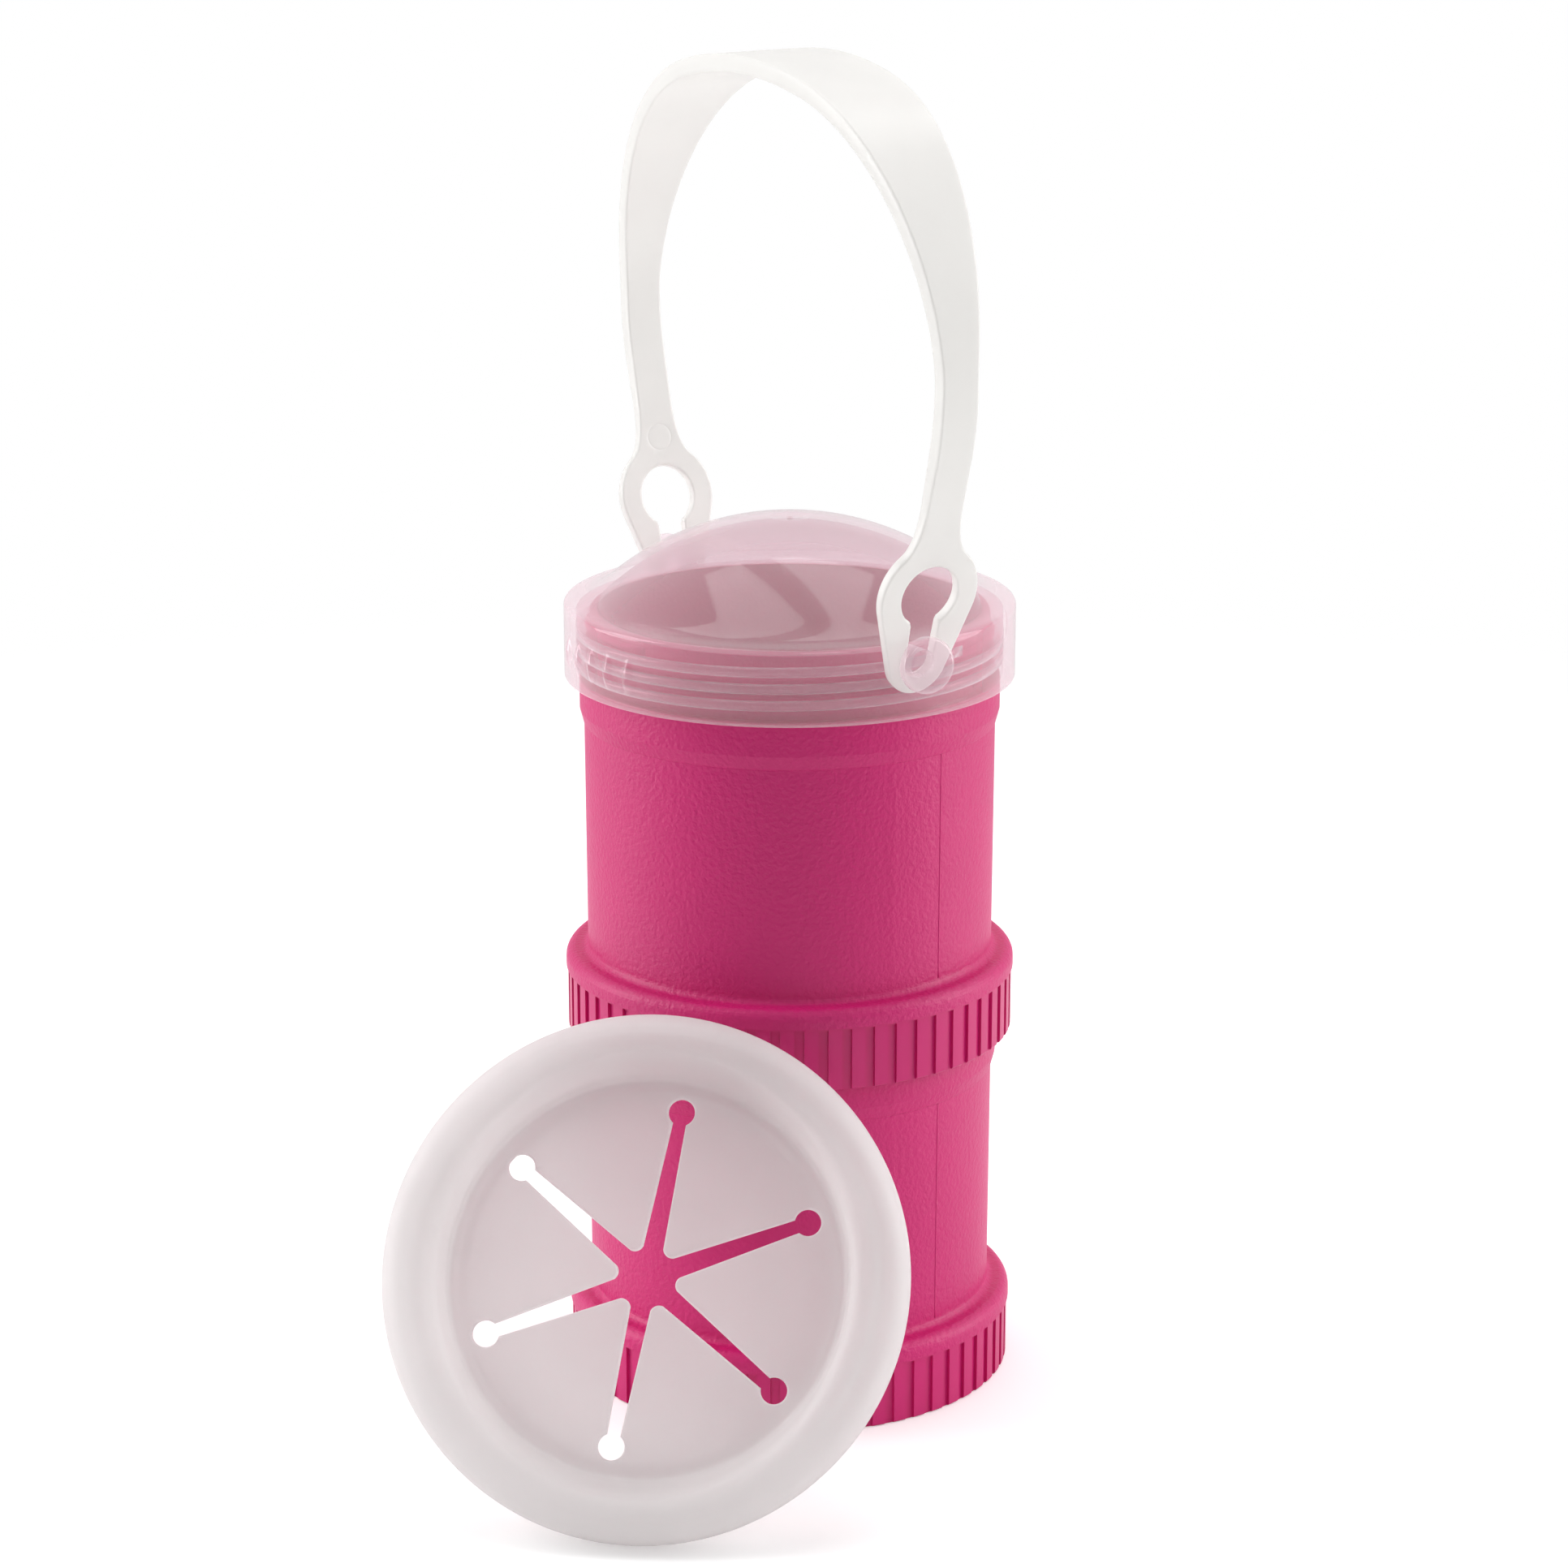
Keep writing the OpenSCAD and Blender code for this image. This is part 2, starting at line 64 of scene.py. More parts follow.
# Finishes
class Net:
    """A material's node tree, built node by node."""

    def __init__(self, name):
        self.mat = bpy.data.materials.new(name)
        self.mat.use_nodes = True
        self.tree = self.mat.node_tree
        self.tree.nodes.clear()

    def add(self, kind, ins=None, **props):
        n = self.tree.nodes.new("ShaderNode" + kind)
        for k, v in props.items():
            setattr(n, k, v)
        for k, v in (ins or {}).items():
            if isinstance(v, bpy.types.NodeSocket):
                self.tree.links.new(v, n.inputs[k])
            else:
                n.inputs[k].default_value = v
        return n

    def math(self, op, a, b=0.0):
        return self.add("Math", {0: a, 1: b}, operation=op).outputs[0]

    def ramp(self, fac, stops):
        n = self.add("ValToRGB", {"Fac": fac})
        els = n.color_ramp.elements
        while len(els) < len(stops):
            els.new(0.5)
        for e, (at, colour) in zip(els, stops):
            e.position = at
            e.color = (*colour, 1)
        return n.outputs["Color"]

    def noise(self, vector, scale, detail=2.0, rough=0.5):
        n = self.add("TexNoise", {"Vector": vector, "Scale": scale, "Detail": detail, "Roughness": rough})
        return n.outputs["Fac"]

    def out(self, shader):
        self.add("OutputMaterial", {"Surface": shader})
        return self.mat


POD_DARK, POD_LIGHT = (0.574, 0.008, 0.148), (0.609, 0.008, 0.157)


def pod_finish(name, foot):
    """Magenta plastic with a pebbled grain above the ribs, for a pod whose foot is at this height."""
    n = Net(name)
    where = n.add("TexCoord").outputs["Object"]
    height = n.add("SeparateXYZ", {"Vector": where}).outputs["Z"]
    grained = n.math("GREATER_THAN", height, (foot + GRAIN_FOOT) * MM)
    coarse = n.noise(where, 1150, 1.5, 0.45)
    fine = n.noise(where, 3100, 2.0, 0.5)
    grain = n.math("ADD", n.math("MULTIPLY", coarse, 0.75), n.math("MULTIPLY", fine, 0.25))
    slow = n.noise(where, 45, 2.0)
    colour = n.ramp(slow, [(0.3, POD_DARK), (0.7, POD_LIGHT)])
    depth = n.math("ADD", n.math("MULTIPLY", grained, 0.75), 0.05)
    bump = n.add("Bump", {"Strength": depth, "Distance": 0.0003, "Height": grain})
    rough = n.math("ADD", n.math("MULTIPLY", grained, 0.1), n.math("MULTIPLY", fine, 0.12))
    gloss = n.add(
        "BsdfPrincipled",
        {
            "Base Color": colour,
            "Roughness": n.math("ADD", rough, 0.3),
            "Normal": bump.outputs[0],
            "IOR": 1.49,
        },
    )
    return n.out(gloss.outputs[0])


def clear_finish(name, tint, veil, veil_edge, roughness, scale):
    """Hazy see-through plastic: a thin veil of its own colour over what lies behind, under a gloss."""
    n = Net(name)
    where = n.add("TexCoord").outputs["Object"]
    slow = n.noise(where, scale, 2.0)
    low = tuple(c * 0.97 for c in tint)
    colour = n.ramp(slow, [(0.3, low), (0.7, tint)])
    matte = n.add("BsdfDiffuse", {"Color": colour})
    glow = n.add("BsdfTranslucent", {"Color": colour})
    body = n.add("MixShader", {"Fac": 0.4, 1: matte.outputs[0], 2: glow.outputs[0]})
    through = n.add("BsdfTransparent", {"Color": (0.99, 0.93, 0.955, 1)})
    facing = n.add("LayerWeight", {"Blend": 0.5}).outputs["Facing"]
    edge = n.math("POWER", facing, 2.0)
    amount = n.math("ADD", n.math("MULTIPLY", edge, veil_edge - veil), veil)
    hazy = n.add("MixShader", {"Fac": amount, 1: through.outputs[0], 2: body.outputs[0]})
    shine = n.add(
        "BsdfGlossy",
        {"Color": (1, 1, 1, 1), "Roughness": n.math("ADD", n.math("MULTIPLY", slow, 0.04), roughness)},
    )
    glance = n.math("ADD", n.math("MULTIPLY", n.math("POWER", facing, 5.0), 0.7), 0.04)
    inner = n.math("MULTIPLY", n.add("NewGeometry").outputs["Backfacing"], -0.5)
    glance = n.math("MULTIPLY", glance, n.math("ADD", inner, 1.0))
    mix = n.add("MixShader", {"Fac": glance, 1: hazy.outputs[0], 2: shine.outputs[0]})
    return n.out(mix.outputs[0])


def milky_finish(name, tint, glow, clear, roughness):
    """Milky plastic: it scatters light through, and a little of what is behind shows, blurred."""
    n = Net(name)
    where = n.add("TexCoord").outputs["Object"]
    slow = n.noise(where, 60, 3.0)
    low = tuple(c * 0.975 for c in tint)
    colour = n.ramp(slow, [(0.3, low), (0.7, tint)])
    fine = n.noise(where, 900, 2.0)
    bump = n.add("Bump", {"Strength": 0.05, "Distance": 0.0001, "Height": fine})
    body = n.add(
        "BsdfPrincipled",
        {
            "Base Color": colour,
            "Roughness": n.math("ADD", n.math("MULTIPLY", fine, 0.05), roughness),
            "IOR": 1.45,
            "Transmission Weight": clear,
            "Normal": bump.outputs[0],
        },
    )
    soft = n.add("BsdfTranslucent", {"Color": colour, "Normal": bump.outputs[0]})
    mix = n.add("MixShader", {"Fac": glow, 1: body.outputs[0], 2: soft.outputs[0]})
    return n.out(mix.outputs[0])


lower_plastic = pod_finish("lower_pod_plastic", 0)
upper_plastic = pod_finish("upper_pod_plastic", POD_PITCH)
lid_plastic = clear_finish("lid_clear_plastic", (0.95, 0.85, 0.88), 0.19, 0.45, 0.07, 40)
strap_plastic = milky_finish("strap_milky_plastic", (0.9, 0.895, 0.88), 0.35, 0.25, 0.22)
cap_plastic = milky_finish("snack_lid_milky_soft", (0.9, 0.88, 0.88), 0.38, 0.45, 0.42)

for node, mat in (("lower_pod", lower_plastic), ("upper_pod", upper_plastic), ("travel_lid", lid_plastic)):
    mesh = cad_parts[node].data
    mesh.materials.clear()
    mesh.materials.append(mat)


def piece(name, verts, faces, mat, body):
    """A smooth mesh from points in millimetres, riding on a body."""
    me = bpy.data.meshes.new(name)
    me.from_pydata([tuple(c * MM for c in v) for v in verts], [], [tuple(f) for f in faces])
    bm = bmesh.new()
    bm.from_mesh(me)
    bmesh.ops.remove_doubles(bm, verts=bm.verts, dist=2e-7)
    bmesh.ops.recalc_face_normals(bm, faces=bm.faces)
    bm.to_mesh(me)
    bm.free()
    me.materials.append(mat)
    me.polygons.foreach_set("use_smooth", [True] * len(me.polygons))
    o = bpy.data.objects.new(name, me)
    scene.collection.objects.link(o)
    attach(o, body)
    return o


def tube(sections):
    """Points and faces of a closed skin over a run of equal closed sections."""
    n = len(sections[0])
    verts = [p for s in sections for p in s]
    faces = []
    for i in range(len(sections) - 1):
        for j in range(n):
            a, b = i * n + j, i * n + (j + 1) % n
            faces.append((a, b, b + n, a + n))
    last = (len(sections) - 1) * n
    faces.append(tuple(range(n - 1, -1, -1)))
    faces.append(tuple(range(last, last + n)))
    return verts, faces


# Screw threads
def thread(name, root, crest, foot, turns, start, mat, body):
    """A helical ridge on a wall of radius root that rises to the radius crest."""
    steps = int(turns * 96)
    sunk = root - SUNK * (1 if crest > root else -1)
    sections = []
    for i in range(steps + 1):
        t = i / steps * turns
        fade = min(1.0, t / 0.06, (turns - t) / 0.06)
        fade = sin(fade * pi / 2)
        z = foot + t * PITCH
        a = start + t * 2 * pi
        rim = root + (crest - root) * fade
        form = [(sunk, -SUNK_HALF)]
        form += [(root + (rim - root) * share, dz) for share, dz in RIDGE]
        form.append((sunk, SUNK_HALF))
        sections.append([(r * cos(a), r * sin(a), z + dz) for r, dz in form])
    verts, faces = tube(sections)
    return piece(name, verts, faces, mat, body)


for pod, low, mat in (("lower_pod", 0, lower_plastic), ("upper_pod", POD_PITCH, upper_plastic)):
    neck = low + POD_H - NECK_H
    thread(pod + "_neck_thread", NECK_R, NECK_CREST, neck + 1.7, 2.7, 0.6, mat, pod)
    thread(pod + "_socket_thread", SOCKET_R, SOCKET_CREST, low + 2.2, 2.7, 2.4, mat, pod)
thread(
    "travel_lid_thread", SOCKET_R, SOCKET_CREST, ROOF_Z - SKIRT_H + 2.0, 2.6, 2.9,
    lid_plastic, "travel_lid",
)


# Moulds' parting lines down the pods
def parting_line(name, turn, low, mat, body):
    sections = []
    for i in range(25):
        z = BEAD_TOP + BEAD_FILLET + (STEP_Z - BEAD_TOP - BEAD_FILLET) * i / 24
        r = BODY_R_LOW + (BODY_R_HIGH - BODY_R_LOW) * (z - BEAD_TOP) / (STEP_Z - BEAD_TOP)
        ring = []
        for out, side in SEAM:
            wave = 0.02 * sin(z * 1.7 + low)
            a = turn + (side + wave) / r
            ring.append(((r + out) * cos(a), (r + out) * sin(a), low + z))
        sections.append(ring)
    verts, faces = tube(sections)
    return piece(name, verts, faces, mat, body)


for pod, low, mat in (("lower_pod", 0, lower_plastic), ("upper_pod", POD_PITCH, upper_plastic)):
    for side, turn in SEAM_TURNS:
        parting_line(pod + "_parting_line_" + side, radians(turn), low, mat, pod)


# Flat plates with rounded edges, cut by holes
def arc(cx, cy, r, a0, a1, n):
    """Points of an arc from angle a0 to a1, in degrees."""
    return [
        (cx + r * cos(radians(a0 + (a1 - a0) * i / n)), cy + r * sin(radians(a0 + (a1 - a0) * i / n)))
        for i in range(n + 1)
    ]


def dense(loop, step):
    """A closed loop with its long sides cut up."""
    out = []
    for p, q in zip(loop, loop[1:] + loop[:1]):
        p, q = np.array(p, float), np.array(q, float)
        n = max(1, int(np.ceil(np.hypot(*(q - p)) / step)))
        if np.hypot(*(q - p)) > 1e-6:
            out += [p + (q - p) * i / n for i in range(n)]
    return np.array(out)


def reach(points, loops):
    """Each point's distance to the loops, and whether it is inside the first and outside the others."""
    points = np.asarray(points, float)
    best = np.full(len(points), 1e9)
    inside = np.zeros(len(points), bool)
    for loop in loops:
        a, b = loop, np.roll(loop, -1, 0)
        d = b - a
        long2 = (d * d).sum(1)
        for i in range(0, len(points), 2000):
            p = points[i : i + 2000, None, :]
            t = np.clip(((p - a) * d).sum(2) / long2, 0, 1)
            gap = np.hypot(*np.moveaxis(p - (a + t[..., None] * d), 2, 0)).min(1)
            best[i : i + 2000] = np.minimum(best[i : i + 2000], gap)
            x, y = p[..., 0], p[..., 1]
            cross = (a[:, 1] > y) != (b[:, 1] > y)
            with np.errstate(divide="ignore", invalid="ignore"):
                hit = cross & (x < a[:, 0] + (y - a[:, 1]) / (b[:, 1] - a[:, 1]) * d[:, 0])
            inside[i : i + 2000] ^= hit.sum(1) % 2 == 1
    return best, inside


def plate(loops, edge, grid, step=0.6, square=(), extra=()):
    """Points, triangles and rounding distances of a plate. Loops named in square keep a full edge."""
    loops = [dense(list(map(tuple, l)), step) for l in loops]
    rounded = [l for i, l in enumerate(loops) if i not in square]
    points, edges = [], []
    for loop in loops:
        base = len(points)
        points += list(loop)
        edges += [(base + i, base + (i + 1) % len(loop)) for i in range(len(loop))]
    rings = []
    for loop in rounded:
        along = np.roll(loop, -1, 0) - np.roll(loop, 1, 0)
        along /= np.hypot(*along.T)[:, None]
        normal = np.stack([-along[:, 1], along[:, 0]], 1)
        for share in (0.03, 0.12, 0.28, 0.5, 0.75, 1.0):
            d = edge * share
            for side in (1, -1):
                ring = loop + normal * d * side
                gap, inside = reach(ring, loops)
                rings += [(p, d) for p, g, i in zip(ring, gap, inside) if i and g > d * 0.96]
    points += [p for p, _ in rings]
    lo, hi = loops[0].min(0), loops[0].max(0)
    rows = []
    for j in range(int((hi[1] - lo[1]) / (grid * 0.87)) + 2):
        for i in range(int((hi[0] - lo[0]) / grid) + 2):
            rows.append((lo[0] + (i + 0.5 * (j % 2)) * grid, lo[1] + j * grid * 0.87))
    rows = np.array(rows)
    gap, inside = reach(rows, loops)
    points += list(rows[inside & (gap > edge + grid * 0.45)])
    if len(extra):
        gap, inside = reach(extra, loops)
        points += list(np.asarray(extra)[inside & (gap > edge * 0.2)])
    got = delaunay_2d_cdt([Vector(p) for p in points], edges, [], 0, 1e-6)
    flat = np.array([tuple(v) for v in got[0]])
    tris = np.array([f for f in got[2] if len(f) == 3])
    _, inside = reach(flat[tris].mean(1), loops)
    tris = tris[inside]
    gap, _ = reach(flat, rounded)
    return flat, tris, gap


def swell(gap, edge, square=2):
    """Share of the full thickness at this distance from an edge: 2 is round, more is squarer."""
    g = np.clip(gap / edge, 0, 1)
    return np.clip(1 - (1 - g) ** square, 0, 1) ** (1 / square)


# Carry strap
STRAP_T, CROWN_T, FOOT, LEAN, LEG = 2.1, 3.2, 44.4, radians(16.5), 39.2
SHOULDER_R, TURN, STRAP_REST = 46.8, radians(94), radians(0.35)
SEAT_R, LOOP_END_R, LOOP_R = 2.5, 5.8, 9.6
HOLE_R, HOLE_UP, SLOT_TOP = 5.45, 12.5, 5.7
NECK, CROWN, NECK_BLEND, NECK_LEN, WIDENING = 3.6, 10.1, 8.0, 21.5, 1.3
LOOP_TOP = (HOLE_UP + LOOP_R) / cos(LEAN)
# The skin stays this far inside the solid's faces
INSIDE = 0.02

knee = np.array([FOOT + LEG * sin(LEAN), LEG * cos(LEAN)])
c1 = knee + SHOULDER_R * np.array([-cos(LEAN), sin(LEAN)])
a1 = TURN - LEAN
join = c1 + SHOULDER_R * np.array([cos(a1), sin(a1)])
crown_r = join[0] / cos(a1)
c2 = join - crown_r * np.array([cos(a1), sin(a1)])
S1 = LEG + SHOULDER_R * TURN
HALF = S1 + crown_r * (pi / 2 - a1)
TOP = c2[1] + crown_r + CROWN_T / 2


def on_arch(s):
    """Middle line of the arch at a distance s along it from the right stud: (x, z) and the outward normal."""
    if s > HALF:
        p, n = on_arch(2 * HALF - s)
        return np.array([-p[0], p[1]]), np.array([-n[0], n[1]])
    if s < LEG:
        n = np.array([cos(LEAN), -sin(LEAN)])
        return np.array([FOOT + s * sin(LEAN), s * cos(LEAN)]), n
    if s < S1:
        a = -LEAN + (s - LEG) / SHOULDER_R
        n = np.array([cos(a), sin(a)])
        return c1 + SHOULDER_R * n, n
    a = a1 + (s - S1) / crown_r
    n = np.array([cos(a), sin(a)])
    return c2 + crown_r * n, n


def half_thick(s):
    """Half the strap's thickness at a distance s along it; it grows from the loops to the shoulders."""
    share = (min(s, 2 * HALF - s) - LOOP_TOP) / (LEG - LOOP_TOP)
    return (STRAP_T + (CROWN_T - STRAP_T) * min(1.0, max(0.0, share))) / 2 - INSIDE


def strap_loops():
    """Outline of the whole strap laid flat, and its two keyholes, as (distance along, distance aside)."""
    turn = 50
    taper = np.degrees(asin((LOOP_R - LOOP_END_R) / HOLE_UP))
    top = HOLE_UP + LOOP_R * sin(radians(turn))
    side = LOOP_R * cos(radians(turn))
    corner = (NECK, top + (side - NECK) / tan(radians(turn)))
    low = corner[1] + NECK_BLEND
    loop = arc(0, 0, LOOP_END_R, -90, -taper, 24)
    loop += arc(0, HOLE_UP, LOOP_R, -taper, turn, 28)
    for i in range(1, 17):
        t = i / 16
        loop.append(tuple(
            (1 - t) ** 2 * p + 2 * t * (1 - t) * c + t * t * q
            for p, c, q in zip((side, top), corner, (NECK, low))
        ))
    half = [(z / cos(LEAN), y) for y, z in loop]
    start, law = half[-1][0], low + NECK_LEN
    n = int((HALF - start) / 1.2)
    for i in range(1, n + 1):
        s = start + (HALF - start) * i / n
        u = max(0.0, (on_arch(s)[0][1] - law) / (TOP - law))
        half.append((s, NECK + (CROWN - NECK) * u**WIDENING))
    back = [(2 * HALF - s, y) for s, y in reversed(half[:-1])]
    right = half + back
    outer = right + [(s, -y) for s, y in reversed(right[1:-1])]
    meet_y = 2.72
    for _ in range(20):
        up = HOLE_UP - sqrt(HOLE_R**2 - meet_y**2)
        meet_y = SEAT_R + (SLOT_TOP / 2 - SEAT_R) * up / HOLE_UP
    open_a = np.degrees(asin(meet_y / HOLE_R))
    hole = arc(0, 0, SEAT_R, 0, -180, 24)
    hole += arc(0, HOLE_UP, HOLE_R, 270 - open_a, -90 + open_a, 48)
    right_hole = [(z / cos(LEAN), y) for y, z in hole]
    left_hole = [(2 * HALF - s, y) for s, y in right_hole]
    return [outer, right_hole, left_hole]


def two_skins(flat, tris, shut, place):
    """Front and back skins of a plate, joined where shut is true. place(i, side) gives a point."""
    verts, front, back = [], {}, {}
    for i in range(len(flat)):
        front[i] = len(verts)
        verts.append(place(i, 1))
        if shut[i]:
            back[i] = front[i]
        else:
            back[i] = len(verts)
            verts.append(place(i, -1))
    faces = [tuple(front[i] for i in t) for t in tris]
    faces += [tuple(back[i] for i in t[::-1]) for t in tris]
    return verts, faces


EDGE = 0.6
# The moulds' round ejector marks on the strap's inner faces
MARK_S, MARK_R, MARK_DEEP, MARK_HALF = 24.2, 2.45, 0.08, 0.2
marks = [
    (c + (MARK_R + d) * cos(a), (MARK_R + d) * sin(a))
    for c in (MARK_S, 2 * HALF - MARK_S)
    for d in (-0.3, -0.12, 0, 0.12, 0.3)
    for a in np.linspace(0, 2 * pi, 48, endpoint=False)
]
strap_flat, strap_tris, strap_gap = plate(strap_loops(), EDGE, 1.5, extra=marks)
half_t = np.array([half_thick(s) for s, _ in strap_flat]) * swell(strap_gap, EDGE, 4)


def strap_place(i, side):
    s, y = strap_flat[i]
    p, n = on_arch(s)
    h = half_t[i] * side
    if side < 0:
        centre = MARK_S if s < HALF else 2 * HALF - MARK_S
        off = abs(sqrt((s - centre) ** 2 + y * y) - MARK_R)
        h += MARK_DEEP * max(0.0, 1 - off / MARK_HALF)
    x, z = p[0] + h * n[0], p[1] + h * n[1]
    sway, rest = sin(STRAP_REST), cos(STRAP_REST)
    return (x, y * rest - z * sway, STUD_Z + y * sway + z * rest)


verts, faces = two_skins(strap_flat, strap_tris, strap_gap < 1e-5, strap_place)
strap = piece("carry_strap_moulding", verts, faces, strap_plastic, "carry_strap")
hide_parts("carry_strap")


# Travel lid, heights counted from the roof that meets the neck
SKIRT_R, CORNER_R, CORNER_RISE, CORNER_TURN = 41.1, 0.9, 1.6, 78
DOME_FOOT_R, DOME_FOOT_H, DOME_H, DOME_BLEND, LID_WALL = 35.9, 2.3, 16.7, 2.6, 1.6
ROOF_IN, FOOT_ROUND = 34.7, 0.35
DIMPLE_R, DIMPLE_DEEP, NIB_H = 4.2, 0.5, 0.35
GRIP_LEN, GRIP_HALF, GRIP_PROUD, GRIP_STEP = 9.0, 1.6, 0.7, 7.6
grips = [m + (i - 2) * GRIP_STEP for m in (-88.5, 91.5) for i in range(5)]
grip_bow = ((GRIP_LEN / 2) ** 2 + GRIP_HALF**2) / (2 * GRIP_HALF)
dome_ball = (DOME_FOOT_R**2 + (DOME_H - DOME_FOOT_H) ** 2) / (2 * (DOME_H - DOME_FOOT_H))
dome_c = DOME_H - dome_ball


def dome_z(r, ball):
    return dome_c + sqrt(ball * ball - r * r)


def skirt_out(turn, z):
    """Radius of the skirt's outside, with its grip ribs."""
    best = SKIRT_R
    dz = abs(z + SKIRT_H / 2)
    if dz < GRIP_LEN / 2:
        thick = GRIP_HALF - grip_bow + sqrt(grip_bow**2 - dz**2)
        for m in grips:
            u = abs(radians((turn - m + 180) % 360 - 180)) * SKIRT_R
            if u < thick:
                best = max(best, hypot(SKIRT_R + GRIP_PROUD - GRIP_HALF + sqrt(thick**2 - u**2), u))
    return best


def lathe(profile, turns, radius=lambda r, z, turn: r):
    """Points and faces of a closed turned body whose profile starts and ends near the axis."""
    n = len(turns)
    verts = [(0, 0, profile[0][1]), (0, 0, profile[-1][1])]
    for r, z in profile:
        for t in turns:
            q = radius(r, z, t)
            verts.append((q * cos(radians(t)), q * sin(radians(t)), z))
    faces = []
    for i in range(len(profile) - 1):
        for j in range(n):
            a, b = 2 + i * n + j, 2 + i * n + (j + 1) % n
            faces.append((a, b, b + n, a + n))
    last = 2 + (len(profile) - 1) * n
    for j in range(n):
        faces.append((0, 2 + (j + 1) % n, 2 + j))
        faces.append((1, last + j, last + (j + 1) % n))
    return verts, faces


corner = arc(SKIRT_R - CORNER_R, CORNER_RISE - CORNER_R, CORNER_R, CORNER_TURN, 0, 8)
slope = (DOME_FOOT_H - corner[0][1]) / (DOME_FOOT_R - corner[0][0])
blend_end = (DOME_FOOT_R + DOME_BLEND, DOME_FOOT_H + slope * DOME_BLEND)
crest_r = DOME_FOOT_R - DOME_BLEND
crest = (crest_r, dome_z(crest_r, dome_ball))
fall = -crest_r / (crest[1] - dome_c)
meet_r = (crest[1] - blend_end[1] - fall * crest_r + slope * blend_end[0]) / (slope - fall)
meet = (meet_r, blend_end[1] + slope * (meet_r - blend_end[0]))

dimple_ball = (DIMPLE_R**2 + DIMPLE_DEEP**2) / (2 * DIMPLE_DEEP)
dimple_foot = DOME_H - DIMPLE_DEEP
nib_top = dimple_foot + NIB_H
profile = [(0.3, nib_top), (0.41, nib_top - 0.02), (0.45, nib_top - 0.09), (0.46, nib_top - 0.25)]
profile.append((0.55, dimple_foot + 0.015))
profile += [(r, dimple_foot + dimple_ball - sqrt(dimple_ball**2 - r * r)) for r in (1.0, 1.6, 2.2, 2.8, 3.2)]
profile += [(3.5, dimple_foot + 0.335), (3.8, dimple_foot + 0.355)]
profile += [(r, dome_z(r, dome_ball)) for r in np.linspace(4.2, crest_r, 42)]
for k in range(1, 15):
    t = k / 14
    profile.append(tuple(
        (1 - t) ** 2 * p + 2 * t * (1 - t) * c + t * t * q for p, c, q in zip(crest, meet, blend_end)
    ))
profile += [(r, blend_end[1] + slope * (r - blend_end[0])) for r in (39.1, 39.8)]
profile += corner
profile += [(SKIRT_R, z) for z in (-0.2, -1.0)]
profile += [(SKIRT_R, z) for z in np.linspace(-1.6, -10.7, 27)]
profile += [(SKIRT_R, -11.3)]
profile += arc(SKIRT_R - FOOT_ROUND, FOOT_ROUND - SKIRT_H, FOOT_ROUND, 0, -90, 5)
profile += arc(SOCKET_R + FOOT_ROUND, FOOT_ROUND - SKIRT_H, FOOT_ROUND, -90, -180, 5)
profile += [(SOCKET_R, z) for z in (-10.0, -7.0, -4.0, -1.0)]
profile += arc(SOCKET_R - 0.3, -0.3, 0.3, 0, 90, 4)
profile += [(37.0, 0.0), (35.5, 0.0)]
profile += arc(ROOF_IN + 0.25, 0.25, 0.25, -90, -180, 4)
profile += [(ROOF_IN, 0.8), (34.55, 1.35)]
profile += [(r, dome_z(r, dome_ball - LID_WALL)) for r in np.linspace(34.0, 0.3, 42)]
turns = [360 * i / 216 for i in range(216)]
turns = [t for t in turns if min(abs((t - m + 180) % 360 - 180) for m in grips) > 2.4]
turns += [(m + np.degrees(u / SKIRT_R)) % 360 for m in grips for u in np.linspace(-1.5, 1.5, 15)]
turns.sort()
verts, faces = lathe(profile, turns, lambda r, z, t: skirt_out(t, z) if r == SKIRT_R else r)
verts = [(x, y, ROOF_Z + z) for x, y, z in verts]
lid = piece("travel_lid_moulding", verts, faces, lid_plastic, "travel_lid")
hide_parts("travel_lid")

# A stud turned about its own axis: radius, and distance from the lid's axis
stud_profile = [(0.2, 39.5), (2.1, 39.5), (2.36, 39.6), (2.42, 39.8), (2.42, 43.0), (2.42, 46.6)]
stud_profile += [(2.46, 46.95), (2.6, 47.15), (2.85, 47.2), (4.6, 47.2)]
stud_profile += arc(4.7, 47.5, 0.3, -90, 0, 4)
stud_profile.append((5.0, 48.2))
stud_profile += arc(4.2, 48.7, 0.8, 0, 90, 8)
stud_profile += [(3.0, 49.5), (1.5, 49.5), (0.62, 49.5), (0.47, 49.52)]
stud_profile += [(0.43, 49.57), (0.3, 49.595), (0.15, 49.6)]
for label, side in (("a", 1), ("b", -1)):
    verts, faces = lathe(stud_profile, [7.5 * i for i in range(48)])
    verts = [(z * side, y * side, STUD_Z + x) for x, y, z in verts]
    piece("lid_stud_" + label, verts, faces, lid_plastic, "travel_lid")


# Snack lid, in its own frame: the web faces +Z
CAP_TOUCH_UP, CAP_FACE, CAP_TOUCH, CAP_GAP, CAP_TURN = 2.5, 55.5, 18.2, 0.3, 21
SLOTS, BULB_DIST, BULB_R, SLOT_W = 6, 29.6, 2.3, 2.3
PETAL_TIP, PETAL_ROUND = 5.1, 1.7
WEB_FRONT, WEB_T, WEB_R = -3.0, 1.6, 32.4
WEB_EDGE = 0.42
CAP_SKIRT_H, CAP_SKIRT_OUT, CAP_SKIRT_EDGE = 7.8, 39.7, 0.8
CAP_SIDE_C, CAP_SIDE_H, CAP_SIDE_ROUND = 44, 3, 2
